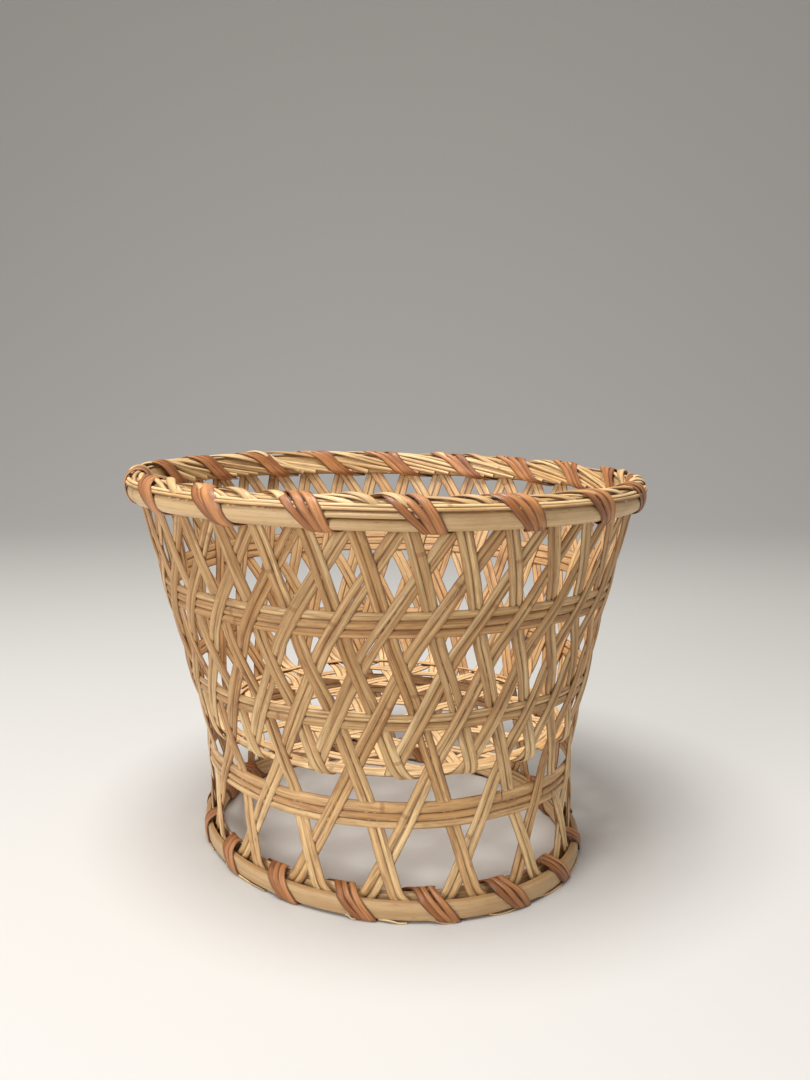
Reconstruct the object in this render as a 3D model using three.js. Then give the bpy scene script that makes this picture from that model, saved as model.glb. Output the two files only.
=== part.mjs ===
// Bamboo dish basket: an open hexagonal weave on a tall foot, with a raised woven floor.
// Millimetres, +Z up. The origin is the middle of the foot, on the surface that the basket stands on.
// An azimuth is in degrees: 0 at the front (-Y), and it grows towards +X.
// Up the wall a right-leaning strand gains azimuth and a left-leaning one loses it.

import * as THREE from 'three';

// Wall: a straight foot that opens into a flared bowl, measured to the middle of the weave
const footRadius = 113.7;
const rimRadius = 147;
const flareStartHeight = 66;
const rimHeight = 219;
const flarePower = 1.1;

// Squeeze: the foot is pulled a little oval, and the wall is round again higher up
const footSqueeze = 9;
const squeezeAzimuth = 40;
const squeezeEndHeight = 150;

// Drift: the strands stand wider apart at the front of the foot, and all lean on a little at the rim
const footDrift = 5.5;
const footDriftAzimuth = 12;
const footDriftEndHeight = 105;
const footDriftPower = 1.3;
const rimDrift = 1.6;
const rimDriftStartHeight = 140;

// Strands: each is a pair of split strips laid side by side
const strandWidth = 7.8;
const strandThickness = 1.4;
const strandGap = 0.3;
const crossingMargin = 1.04;

// Weave: rows where strands cross, one row pitch apart, from the first crossing above the foot ring
const vCount = 18;
const firstRowHeight = 30.6;
const rowPitch = 26.6;
const twistPerMm = 0.055;
const firstVAzimuth = -2;
const lastPlainRow = 6;

// Bands: strips laid edge to edge, round the wall, on rows 1, 3 and 5
const bandThickness = 1.4;
const bandStripGap = 0.3;
const footBandMargin = 1.2;
const footBandStrips = [3.9, 3.9, 6.2];
const middleBandStrips = [4.8, 4.6];
const upperBandStrips = [4.6, 4.6, 4.6];

// Floor: six strands in each of three directions
const floorDirections = 3;
const floorPitch = 34;
const floorAzimuth = 10.9;
const floorEdgeRadius = 10;
const floorEdgeSlack = 0.4;
const floorCrossingMargin = 1.02;
const floorReachInPitches = 2.95;
const bendShares = [0, 0.38, 0.75];

// Rim: a half-round outer hoop, a flat inner hoop, a filler over the strand ends, and bark lashing
const hoopSides = 48;
const rimHoopHeight = 12;
const rimOuterHoopThickness = 4.1;
const rimOuterHoopFlat = 5.6;
const rimOuterHoopEdge = 1.8;
const rimInnerHoopThickness = 2.8;
const rimInnerHoopRise = 0.5;
const fillerHeight = 2.8;
const fillerOverhang = 0.6;
const fillerCrown = 3.4;

// Foot ring: an outer and an inner hoop of split bamboo, one each side of the strands
const footHoopHeight = 10;
const footHoopThickness = 3.7;
const footHoopRound = 1;
const footInnerHoopThickness = 2.7;
const stakeEntryGap = 0.8;
const stakeTurnGap = 0.5;
const stakeTurnShare = 0.23;

// Lashing: one strip that winds right round each ring, slanting on the outside
const lashingWidth = 8.4;
const lashingThickness = 0.9;
const lashingGap = 0.4;
const rimLashingSlant = 2.6;
const rimLashingUnder = 1;
const rimLashingReturn = 4;
const rimLashingLead = 0.1;
const footLashingSlant = 4.5;
const footLashingUnder = 1;
const footLashingReturn = 2.5;
const footLashingLead = 9;

// Dependent values of the weave
const vPitch = 360 / vCount;
const crossingPitch = vPitch / 2;
const closingPerMm = vPitch / (2 * rowPitch);
const rightLean = closingPerMm / 2 + twistPerMm;
const leftLean = -closingPerMm / 2 + twistPerMm;
const layerStep = strandThickness + strandGap;
const bandStep = (strandThickness + bandThickness) / 2 + strandGap;
const ringClear = layerStep / 2 + strandThickness / 2 + strandGap;
const footRow = 0;
const footBandRow = 1;
const floorRow = 2;
const middleBandRow = 3;
const upperBandRow = 5;
const floorLines = vCount / floorDirections;
const degree = Math.PI / 180;

// Materials
const strandBamboo = new THREE.MeshStandardMaterial({ color: 0xc9a368, roughness: 0.55, metalness: 0 });
const hoopBamboo = new THREE.MeshStandardMaterial({ color: 0xd0b37e, roughness: 0.5, metalness: 0 });
const floorBamboo = new THREE.MeshStandardMaterial({ color: 0xdcb987, roughness: 0.6, metalness: 0 });
const bark = new THREE.MeshStandardMaterial({ color: 0xb57c4c, roughness: 0.6, metalness: 0 });

const basket = new THREE.Group();
const upwards = new THREE.Vector3(0, 0, 1);

function add(name, geometry, material) {
  const mesh = new THREE.Mesh(geometry, material);
  mesh.name = name;
  basket.add(mesh);
}

function numbered(name, index) {
  return `${name}_${String(index + 1).padStart(2, '0')}`;
}

// Level direction that points to an azimuth
function towards(azimuth) {
  return new THREE.Vector3(Math.sin(azimuth * degree), -Math.cos(azimuth * degree), 0);
}

// The wall's radius, and its slope, at a height
function wallRadius(z) {
  const share = Math.max(0, (z - flareStartHeight) / (rimHeight - flareStartHeight));
  return footRadius + (rimRadius - footRadius) * share ** flarePower;
}

function wallTilt(z) {
  const reach = 1;
  return Math.atan2(wallRadius(z + reach) - wallRadius(z - reach), 2 * reach);
}

function rowHeight(row) {
  return firstRowHeight + rowPitch * row;
}

// A place on the wall, with its outward direction. The layer is the distance out from the middle.
function onWall(azimuth, z, layer) {
  const tilt = wallTilt(z);
  const out = towards(azimuth).multiplyScalar(Math.cos(tilt));
  out.z = -Math.sin(tilt);
  const centre = towards(azimuth).multiplyScalar(wallRadius(z));
  centre.z = z;
  return { centre: centre.addScaledVector(out, layer), out };
}

function azimuthOf(point) {
  return Math.atan2(point.x, -point.y) / degree;
}

// How far round the wall a place is carried from its even spacing
function driftAt(azimuth, z) {
  const footShare = Math.max(0, 1 - z / footDriftEndHeight) ** footDriftPower;
  const rimShare = THREE.MathUtils.smoothstep(z, rimDriftStartHeight, rimHeight);
  return footDrift * footShare * Math.sin((azimuth - footDriftAzimuth) * degree) + rimDrift * rimShare;
}

// Every piece shares the drift and then the squeeze, which is longer along one level line and
// shorter square to it, so that pieces that touch still touch
function settled(evenPoint) {
  const drift = driftAt(azimuthOf(evenPoint), evenPoint.z);
  const point = evenPoint.clone().applyAxisAngle(upwards, drift * degree);
  const share = footSqueeze / footRadius * Math.max(0, 1 - point.z / squeezeEndHeight);
  const long = towards(squeezeAzimuth);
  const short = towards(squeezeAzimuth + 90);
  return point.clone()
    .addScaledVector(long, share * point.dot(long))
    .addScaledVector(short, -share * point.dot(short));
}

// Closed mesh through rings of points: a tube with two flat ends, or a loop
function meshThroughRings(rings, isLoop) {
  const sides = rings[0].length;
  const positions = rings.flat().map(settled).flatMap((point) => [point.x, point.y, point.z]);
  const triangles = [];
  const spans = isLoop ? rings.length : rings.length - 1;
  for (let ring = 0; ring < spans; ring += 1) {
    const next = (ring + 1) % rings.length;
    for (let side = 0; side < sides; side += 1) {
      const beside = (side + 1) % sides;
      const a = ring * sides + side;
      const b = ring * sides + beside;
      const c = next * sides + beside;
      const d = next * sides + side;
      triangles.push([a, b, c], [a, c, d]);
    }
  }
  if (!isLoop) {
    const last = (rings.length - 1) * sides;
    for (let side = 1; side < sides - 1; side += 1) {
      triangles.push([0, side + 1, side], [last, last + side, last + side + 1]);
    }
  }
  const corner = (index) => new THREE.Vector3().fromArray(positions, index * 3);
  const volume = triangles.reduce(
    (sum, [a, b, c]) => sum + corner(a).dot(corner(b).cross(corner(c))), 0);
  const outward = volume > 0 ? triangles : triangles.map(([a, b, c]) => [a, c, b]);
  const geometry = new THREE.BufferGeometry();
  geometry.setAttribute('position', new THREE.Float32BufferAttribute(positions, 3));
  geometry.setIndex(outward.flat());
  geometry.computeVertexNormals();
  return geometry;
}

// A flat strip through stations: its width lies square to the route and to the outward direction
function stripAlong(stations, width, thickness) {
  const rings = stations.map(({ centre, out }, index) => {
    const before = stations[Math.max(index - 1, 0)].centre;
    const after = stations[Math.min(index + 1, stations.length - 1)].centre;
    const back = centre.clone().sub(before).normalize();
    const ahead = after.clone().sub(centre).normalize();
    const across = new THREE.Vector3().crossVectors(out, back.add(ahead)).normalize();
    return [[1, 1], [-1, 1], [-1, -1], [1, -1]].map(([side, face]) => centre.clone()
      .addScaledVector(across, side * width / 2)
      .addScaledVector(out, face * thickness / 2));
  });
  return meshThroughRings(rings, false);
}

// Half the height of the patch where two leaning strands cover each other
function crossingReach(z) {
  const mmPerDegree = wallRadius(z) * degree;
  const levelWidth = (lean) => strandWidth * Math.hypot(1, lean * mmPerDegree);
  const covered = (levelWidth(rightLean) + levelWidth(leftLean)) / 2;
  return crossingMargin * covered / (closingPerMm * mmPerDegree);
}

function bandHeight(strips) {
  return strips.reduce((sum, width) => sum + width, 0) + bandStripGap * (strips.length - 1);
}

// Which layer a strand keeps at a row: outside a band or inside it, or over or under its pair
function layerAtRow(row, leansRight) {
  const isBandRow = row % 2 === 1;
  if (isBandRow) return leansRight ? bandStep : -bandStep;
  return leansRight ? -layerStep / 2 : layerStep / 2;
}

function reachAtRow(row) {
  const bandReach = bandHeight(footBandStrips) / 2 + footBandMargin;
  return row === footBandRow ? bandReach : crossingReach(rowHeight(row));
}

// The strands end level with the inner hoop's top edge, where a leaning strip's corner is highest
const rimClampTop = rimHoopHeight / 2 + rimInnerHoopRise;

function endCornerRise(lean) {
  return strandWidth / 2 * Math.sin(Math.atan(Math.abs(lean) * rimRadius * degree));
}

// Wall route of a strand from one row up to the rim, as azimuth, height and layer
function wallRoute(baseAzimuth, leansRight, fromRow) {
  const lean = leansRight ? rightLean : leftLean;
  const azimuthAt = (z) => baseAzimuth + lean * (z - firstRowHeight);
  const route = [];
  for (let row = fromRow; row <= lastPlainRow; row += 1) {
    const layer = layerAtRow(row, leansRight);
    const below = rowHeight(row) - reachAtRow(row);
    const above = rowHeight(row) + reachAtRow(row);
    if (row > fromRow) route.push([azimuthAt(below), below, layer]);
    if (row < lastPlainRow) route.push([azimuthAt(above), above, layer]);
  }
  const rimLayer = layerAtRow(lastPlainRow, leansRight);
  const clampStart = rimHeight - rimHoopHeight / 2;
  const end = rimHeight + rimClampTop * Math.cos(wallTilt(rimHeight)) - endCornerRise(lean);
  route.push([azimuthAt(clampStart), clampStart, rimLayer]);
  route.push([azimuthAt(end), end, rimLayer]);
  return route.map(([azimuth, z, layer]) => onWall(azimuth, z, layer));
}

// Foot stakes: down one lean, round inside the foot ring, and up the other lean
const lashingRoom = lashingThickness + lashingGap;
const footHoopTop = lashingRoom + footHoopHeight;

function footStake(index) {
  const rightBase = firstVAzimuth + vPitch * index;
  const leftBase = rightBase - vPitch;
  const enterHeight = footHoopTop + stakeEntryGap;
  const turnHeight = lashingRoom + strandWidth / 2 + stakeTurnGap;
  const rightLayer = layerAtRow(footRow, true);
  const leftLayer = layerAtRow(footRow, false);
  const rightEnter = rightBase + rightLean * (enterHeight - firstRowHeight);
  const leftEnter = leftBase + leftLean * (enterHeight - firstRowHeight);
  const turn = stakeTurnShare * (rightEnter - leftEnter);
  const down = wallRoute(rightBase, true, footRow).reverse();
  const up = wallRoute(leftBase, false, footRow);
  const round = [
    onWall(rightEnter, enterHeight, rightLayer),
    onWall(rightEnter - turn, turnHeight, rightLayer),
    onWall(leftEnter + turn, turnHeight, leftLayer),
    onWall(leftEnter, enterHeight, leftLayer),
  ];
  return stripAlong([...down, ...round, ...up], strandWidth, strandThickness);
}

for (let index = 0; index < vCount; index += 1) {
  add(numbered('foot_stake', index), footStake(index), strandBamboo);
}

// Floor strands: down the wall, over the bend, across the floor and up the far wall.
// The bend is an arc that meets the wall at the floor row.
const bendTilt = wallTilt(rowHeight(floorRow));
const bendCentreRadius = wallRadius(rowHeight(floorRow)) - floorEdgeRadius * Math.cos(bendTilt);
const floorHeight = rowHeight(floorRow) - floorEdgeRadius * (1 - Math.sin(bendTilt));
const bendEnd = 90 - bendTilt / degree;

// A place on the bend: the turn is 0 where the floor ends, in degrees
function onBend(azimuth, turn, layer) {
  const out = towards(azimuth).multiplyScalar(Math.sin(turn * degree));
  out.z = -Math.cos(turn * degree);
  const centre = towards(azimuth).multiplyScalar(bendCentreRadius);
  centre.z = floorHeight + floorEdgeRadius;
  return { centre: centre.addScaledVector(out, floorEdgeRadius + layer), out };
}

function lineOffset(line) {
  return (line - (floorLines - 1) / 2) * floorPitch;
}

function lineAzimuth(direction) {
  return floorAzimuth + direction * 180 / floorDirections;
}

// Crossings along one floor line, as distance and layer, in order
function floorCrossings(direction, line) {
  const offset = lineOffset(line);
  const crossings = [];
  for (let step = 1; step < floorDirections; step += 1) {
    const other = (direction + step) % floorDirections;
    const between = (lineAzimuth(direction) - lineAzimuth(other)) * degree;
    const layer = step === 1 ? layerStep / 2 : -layerStep / 2;
    for (let otherLine = 0; otherLine < floorLines; otherLine += 1) {
      const along = (lineOffset(otherLine) - offset * Math.cos(between)) / Math.sin(between);
      const isInside = Math.hypot(along, offset) < floorReachInPitches * floorPitch;
      if (isInside) crossings.push([along, layer]);
    }
  }
  return crossings.sort((a, b) => a[0] - b[0]);
}

function onFloor(direction, offset, along, layer) {
  const azimuth = lineAzimuth(direction);
  const centre = towards(azimuth).multiplyScalar(along).addScaledVector(towards(azimuth + 90), offset);
  centre.z = floorHeight - layer;
  return { centre, out: new THREE.Vector3(0, 0, -1) };
}

// From the last station on the floor up to the rim. The strand leans the way that it already heads.
function riseFromFloor(floorStation, heading) {
  const start = floorStation.centre;
  const leansRight = start.x * heading.y - start.y * heading.x > 0;
  const lean = leansRight ? rightLean : leftLean;
  const rowLayer = layerAtRow(floorRow, leansRight);
  const layer = rowLayer + Math.sign(rowLayer) * floorEdgeSlack;
  const rowAzimuth = firstVAzimuth + crossingPitch + rightLean * (rowHeight(floorRow) - firstRowHeight);
  const flatRun = bendCentreRadius - Math.hypot(start.x, start.y);
  const reach = start.clone().addScaledVector(heading, flatRun);
  const nearest = Math.round((azimuthOf(reach) - rowAzimuth) / vPitch);
  const meetAzimuth = rowAzimuth + nearest * vPitch;
  const baseAzimuth = meetAzimuth - lean * (rowHeight(floorRow) - firstRowHeight);
  const startAzimuth = meetAzimuth + ((azimuthOf(start) - meetAzimuth + 540) % 360) - 180;
  const arcRun = floorEdgeRadius * bendEnd * degree;
  const azimuthAfter = (run) => THREE.MathUtils.lerp(startAzimuth, meetAzimuth, run / (flatRun + arcRun));
  const bend = bendShares.map((share) => onBend(
    azimuthAfter(flatRun + share * arcRun), share * bendEnd, layer));
  return [...bend, ...wallRoute(baseAzimuth, leansRight, floorRow)];
}

function floorStrand(direction, line) {
  const offset = lineOffset(line);
  const reach = strandWidth / 2 / Math.tan(90 / floorDirections * degree) * floorCrossingMargin;
  const across = floorCrossings(direction, line).flatMap(([along, layer]) => [
    onFloor(direction, offset, along - reach, layer),
    onFloor(direction, offset, along + reach, layer),
  ]);
  const ahead = towards(lineAzimuth(direction));
  const near = riseFromFloor(across[0], ahead.clone().negate()).reverse();
  const far = riseFromFloor(across[across.length - 1], ahead);
  return stripAlong([...near, ...across, ...far], strandWidth, strandThickness);
}

for (let direction = 0; direction < floorDirections; direction += 1) {
  for (let line = 0; line < floorLines; line += 1) {
    add(numbered('floor_strand', direction * floorLines + line), floorStrand(direction, line), floorBamboo);
  }
}

// Bands: each strip runs straight from crossing to crossing, so it is flat where strands cover it
function bandStrip(row, z, height) {
  const sides = 2 * vCount;
  const start = firstVAzimuth + rightLean * (rowHeight(row) - firstRowHeight) + 180 / sides;
  const rings = [];
  for (let side = 0; side < sides; side += 1) {
    const azimuth = start + side * 360 / sides;
    const { centre, out } = onWall(azimuth, z, 0);
    const bulge = wallRadius(z) * (1 / Math.cos(Math.PI / sides) - 1);
    centre.addScaledVector(towards(azimuth), bulge);
    const up = new THREE.Vector3().crossVectors(towards(azimuth + 90), out).negate();
    rings.push([[1, 1], [-1, 1], [-1, -1], [1, -1]].map(([edge, face]) => centre.clone()
      .addScaledVector(up, edge * height / 2)
      .addScaledVector(out, face * bandThickness / 2)));
  }
  return meshThroughRings(rings, true);
}

function addBand(name, row, strips) {
  const upright = Math.cos(wallTilt(rowHeight(row)));
  let bottom = rowHeight(row) - bandHeight(strips) * upright / 2;
  strips.forEach((height, index) => {
    const z = bottom + height * upright / 2;
    add(`${name}_${index + 1}`, bandStrip(row, z, height), strandBamboo);
    bottom += (height + bandStripGap) * upright;
  });
}

addBand('foot_band', footBandRow, footBandStrips);
addBand('middle_band', middleBandRow, middleBandStrips);
addBand('upper_band', upperBandRow, upperBandStrips);

// A ring with a section drawn in the wall's own directions: out from it and up along it
function ringPoint(seat, azimuth, out, up) {
  const radius = seat.radius + out * Math.cos(seat.tilt) + up * Math.sin(seat.tilt);
  const point = towards(azimuth).multiplyScalar(radius);
  point.z = seat.height - out * Math.sin(seat.tilt) + up * Math.cos(seat.tilt);
  return point;
}

function hoop(seat, section) {
  const rings = [];
  for (let side = 0; side < hoopSides; side += 1) {
    rings.push(section.map(([out, up]) => ringPoint(seat, side * 360 / hoopSides, out, up)));
  }
  return meshThroughRings(rings, true);
}

function slab(inside, outside, bottom, top) {
  return [[inside, bottom], [outside, bottom], [outside, top], [inside, top]];
}

// One strip wound round a ring's section, once for each V, joined to its own start.
// The corners run outer top, outer bottom, inner bottom, inner top, each with its azimuth.
function lashing(seat, box, start, slant, under, back) {
  const halfWidth = lashingWidth / 2 / seat.radius / degree;
  const corners = [
    [box.outside, box.top, 0, 1, 1],
    [box.outside, box.bottom, slant, 1, -1],
    [box.inside, box.bottom, slant + under, -1, -1],
    [box.inside, box.top, vPitch - back, -1, 1],
  ];
  const rings = [];
  for (let turn = 0; turn < vCount; turn += 1) {
    for (const [out, up, advance, outSide, upSide] of corners) {
      const azimuth = start + turn * vPitch + advance;
      rings.push([[1, 1], [-1, 1], [-1, 0], [1, 0]].map(([edge, face]) => ringPoint(
        seat,
        azimuth + edge * halfWidth,
        out + face * outSide * lashingThickness,
        up + face * upSide * lashingThickness)));
    }
  }
  return meshThroughRings(rings, true);
}

// Rim
const rimSeat = { radius: rimRadius, height: rimHeight, tilt: wallTilt(rimHeight) };
const hoopBulge = rimRadius * (1 / Math.cos(Math.PI / hoopSides) - 1);
const rimOuterInside = ringClear + hoopBulge;
const rimOuterOutside = rimOuterInside + rimOuterHoopThickness;
const rimHalfHeight = rimHoopHeight / 2;
const rimOuterSection = [
  [rimOuterInside, -rimHalfHeight],
  [rimOuterInside + rimOuterHoopEdge, -rimHalfHeight],
  [rimOuterOutside, -rimOuterHoopFlat / 2],
  [rimOuterOutside, rimOuterHoopFlat / 2],
  [rimOuterInside + rimOuterHoopEdge, rimHalfHeight],
  [rimOuterInside, rimHalfHeight],
];
const rimInnerInside = -ringClear - rimInnerHoopThickness;
const fillerBottom = rimClampTop + strandGap;
const fillerTop = fillerBottom + fillerHeight;
const fillerSection = [
  [rimInnerInside + fillerOverhang, fillerBottom],
  [rimOuterOutside - fillerOverhang, fillerBottom],
  [fillerCrown, fillerTop],
  [-fillerCrown, fillerTop],
];
add('rim_hoop_outer', hoop(rimSeat, rimOuterSection), hoopBamboo);
add('rim_hoop_inner', hoop(rimSeat, slab(
  rimInnerInside, -ringClear, -rimHalfHeight, rimClampTop)), hoopBamboo);
add('rim_filler', hoop(rimSeat, fillerSection), hoopBamboo);

const rimLashingBox = {
  inside: rimInnerInside - lashingGap,
  outside: rimOuterOutside + lashingGap,
  bottom: -rimHalfHeight - lashingGap,
  top: fillerTop + lashingGap,
};
const lastCrossing = firstVAzimuth + rightLean * (rowHeight(lastPlainRow + 1) - firstRowHeight);
const rimLashingStart = lastCrossing + crossingPitch / 2 + rimLashingLead
  - rimLashingSlant - rimLashingUnder / 2;
add('rim_lashing', lashing(
  rimSeat, rimLashingBox, rimLashingStart, rimLashingSlant, rimLashingUnder, rimLashingReturn), bark);

// Foot ring
const footSeat = { radius: footRadius, height: 0, tilt: 0 };
const footBulge = footRadius * (1 / Math.cos(Math.PI / hoopSides) - 1);
const footOuterInside = ringClear + footBulge;
const footOuterOutside = footOuterInside + footHoopThickness;
const footInnerInside = -ringClear - footInnerHoopThickness;
const footOuterSection = [
  [footOuterInside, lashingRoom],
  [footOuterOutside - footHoopRound, lashingRoom],
  [footOuterOutside, lashingRoom + footHoopRound],
  [footOuterOutside, footHoopTop - footHoopRound],
  [footOuterOutside - footHoopRound, footHoopTop],
  [footOuterInside, footHoopTop],
];
add('foot_hoop_outer', hoop(footSeat, footOuterSection), hoopBamboo);
add('foot_hoop_inner', hoop(footSeat, slab(
  footInnerInside, -ringClear, lashingRoom, footHoopTop)), hoopBamboo);

const footLashingBox = {
  inside: footInnerInside - lashingGap,
  outside: footOuterOutside + lashingGap,
  bottom: lashingThickness,
  top: footHoopTop + lashingGap,
};
const footLashingStart = firstVAzimuth - footLashingLead;
add('foot_lashing', lashing(
  footSeat, footLashingBox, footLashingStart, footLashingSlant, footLashingUnder, footLashingReturn), bark);

export default basket;
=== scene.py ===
"""Bamboo dish basket: its finer pieces, fitted over the basket's own solids.

Sizes are in millimetres and are turned to metres where a mesh is made.
An azimuth is in degrees: 0 at the front (-Y), and it grows towards +X.
"""

import math
import random

import bpy
import numpy as np
from mathutils import Matrix, Vector


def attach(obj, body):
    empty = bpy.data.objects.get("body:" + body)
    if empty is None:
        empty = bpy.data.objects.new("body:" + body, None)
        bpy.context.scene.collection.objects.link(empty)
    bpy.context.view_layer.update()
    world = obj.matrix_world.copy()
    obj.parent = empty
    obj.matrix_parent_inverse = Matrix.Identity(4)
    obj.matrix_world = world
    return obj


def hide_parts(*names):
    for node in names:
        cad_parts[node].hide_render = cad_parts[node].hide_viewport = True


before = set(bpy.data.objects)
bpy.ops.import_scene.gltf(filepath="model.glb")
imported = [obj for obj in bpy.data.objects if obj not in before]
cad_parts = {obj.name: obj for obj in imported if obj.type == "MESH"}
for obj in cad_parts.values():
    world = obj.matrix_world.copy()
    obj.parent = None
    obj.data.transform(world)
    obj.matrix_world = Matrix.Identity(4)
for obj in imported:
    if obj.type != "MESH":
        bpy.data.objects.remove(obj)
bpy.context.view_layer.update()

# Foot stakes.
# Eighteen stakes of split bamboo, each a pair of strips laid side by side. A stake comes down the
# wall leaning one way, turns round inside the foot ring and goes up leaning the other way.

METRE = 0.001

# The wall flares to the rim. The foot is pulled a little oval, and the rim is tipped a little.
foot_radius = 113.7
rim_radius = 147
flare_start = 66
rim_height = 219
flare_power = 1.1
foot_squeeze = 9
squeeze_azimuth = 40
squeeze_end = 150
foot_drift = 5.5
foot_drift_azimuth = 12
foot_drift_end = 105
foot_drift_power = 1.3
rim_drift = 1.6
rim_drift_start = 140
rim_tip_x = -0.0166
rim_tip_y = 0.0136
lowest_point = 0.02

# The strands cross in rows. A lean is in degrees round the wall for each millimetre of height.
strand_width = 7.8
strand_thickness = 1.0
strand_gap = 0.05
v_count = 18
first_row = 30.6
row_pitch = 26.6
twist = 0.055
first_v = -2
last_plain_row = 6

v_pitch = 360 / v_count
closing = v_pitch / (2 * row_pitch)
right_lean = closing / 2 + twist
left_lean = -closing / 2 + twist
layer_step = strand_thickness + strand_gap
crossing_room = 1.04
foot_band_row = 1
foot_band_strips = (3.9, 3.9, 6.2)
foot_band_room = 1.2
band_gap = 0.3
rim_hoop_height = 12
rim_inner_rise = 0.5

# A stake turns round between the foot's two hoops, above the lashing's underside
lashing_room = 1.3
foot_hoop_height = 10
foot_hoop_top = lashing_room + foot_hoop_height
entry_room = 0.8
turn_room = 0.5
turn_share = 0.23

# A route's step, and about how far a degree goes along the wall
route_step = 2.5
degree_run = 2.2
easing_passes = 15
easing_heights = (13, 27)


def towards(azimuth):
    angle = np.radians(azimuth)
    return np.stack([np.sin(angle), -np.cos(angle), np.zeros_like(angle)], -1)


def wall_radius(z):
    share = np.maximum(0, (np.asarray(z, float) - flare_start) / (rim_height - flare_start))
    return foot_radius + (rim_radius - foot_radius) * share**flare_power


def wall_tilt(z):
    return np.arctan2(wall_radius(np.asarray(z) + 1) - wall_radius(np.asarray(z) - 1), 2)


def row_height(row):
    return first_row + row_pitch * row


def on_wall(azimuth, z, layer):
    """Places on the wall with their outward directions, each a row of three numbers"""
    azimuth, z, layer = (np.asarray(value, float) for value in (azimuth, z, layer))
    tilt = wall_tilt(z)
    out = towards(azimuth) * np.cos(tilt)[..., None]
    out[..., 2] = -np.sin(tilt)
    centre = towards(azimuth) * wall_radius(z)[..., None]
    centre[..., 2] = z
    return centre + out * layer[..., None], out


def faded(value, start, end):
    share = np.clip((value - start) / (end - start), 0, 1)
    return share * share * (3 - 2 * share)


def drifted(points):
    """Strands stand wider apart at the front of the foot, and lean on a little at the rim"""
    x, y, z = points.T
    angle = np.arctan2(x, -y)
    foot_share = np.maximum(0, 1 - z / foot_drift_end) ** foot_drift_power
    drift = foot_drift * foot_share * np.sin(angle - math.radians(foot_drift_azimuth))
    drift = np.radians(drift + rim_drift * faded(z, rim_drift_start, rim_height))
    return np.stack([x * np.cos(drift) - y * np.sin(drift), x * np.sin(drift) + y * np.cos(drift), z], 1)


def settled(points):
    """The drift, the oval foot and the hand-made unevenness. All pieces share it, so they still meet."""
    points = drifted(points)
    x, y, z = points.T
    share = foot_squeeze / foot_radius * np.maximum(0, 1 - z / squeeze_end)
    for azimuth, sign in ((squeeze_azimuth, 1), (squeeze_azimuth + 90, -1)):
        along = towards(azimuth)
        points = points + sign * (share * (points @ along))[:, None] * along
    angle = np.arctan2(x, -y)
    radius = np.maximum(np.hypot(x, y), 1)
    # Slow waves round the wall, which fade over the floor and at the foot. The lift fades at the rim too.
    wall = faded(radius, 60, 110) * faded(z, 12, 50)
    swing = wall * (0.7 * np.sin(3 * angle + 2.1 + z / 160) + 0.5 * np.sin(5 * angle + 0.7 - z / 140))
    lift = wall * (0.5 * np.sin(2 * angle + 1 + z / 120) + 0.3 * np.sin(4 * angle - z / 110))
    lift = lift * faded(rim_height - z, -10, 40)
    swell = wall * 0.5 * np.sin(3 * angle + 1.7 + z / 120)
    level = np.stack([x, y], 1) / radius[:, None]
    points[:, 0] += swell * level[:, 0] - swing * level[:, 1]
    points[:, 1] += swell * level[:, 1] + swing * level[:, 0]
    points[:, 2] += lift + (rim_tip_x * x + rim_tip_y * y) * z / rim_height
    points[:, 2] = np.maximum(points[:, 2], lowest_point)
    return points


def uneven(chance, amount, span):
    """A slow, smooth unevenness along a strip: three waves with seeded phases"""
    waves = [
        (amount * share, 2 * math.pi / (span * stretch), chance.uniform(0, 2 * math.pi))
        for share, stretch in ((0.6, 1), (0.35, 0.53), (0.2, 0.27))
    ]
    return lambda run: sum(size * np.sin(rate * run + phase) for size, rate, phase in waves)


def length_along(points):
    steps = np.linalg.norm(np.diff(points, axis=0), axis=1)
    return np.concatenate([[0], np.cumsum(steps)])


def unit(vectors):
    return vectors / np.maximum(np.linalg.norm(vectors, axis=-1, keepdims=True), 1e-9)


def closer(stations):
    """Stations of azimuth, height and layer, with more laid evenly between them"""
    rows = [np.array(stations[0], float)]
    for start, end in zip(np.array(stations[:-1], float), np.array(stations[1:], float)):
        gap = math.hypot((end[0] - start[0]) * degree_run, end[1] - start[1])
        count = max(1, math.ceil(gap / route_step))
        rows += [start + (end - start) * share / count for share in range(1, count + 1)]
    return np.array(rows)


def eased(centre, out):
    """The same route at even steps, with its corners eased, but hardly where it enters the foot ring"""
    run = length_along(centre)
    at = np.linspace(0, run[-1], int(run[-1] / route_step) + 1)
    both = np.hstack([centre, out])
    both = np.stack([np.interp(at, run, column) for column in both.T], 1)
    ease = 0.1 + 0.9 * faded(both[1:-1, 2:3], *easing_heights)
    for _ in range(easing_passes):
        both[1:-1] += ease * (both[:-2] - 2 * both[1:-1] + both[2:]) / 4
    return both[:, :3], unit(both[:, 3:])


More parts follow.
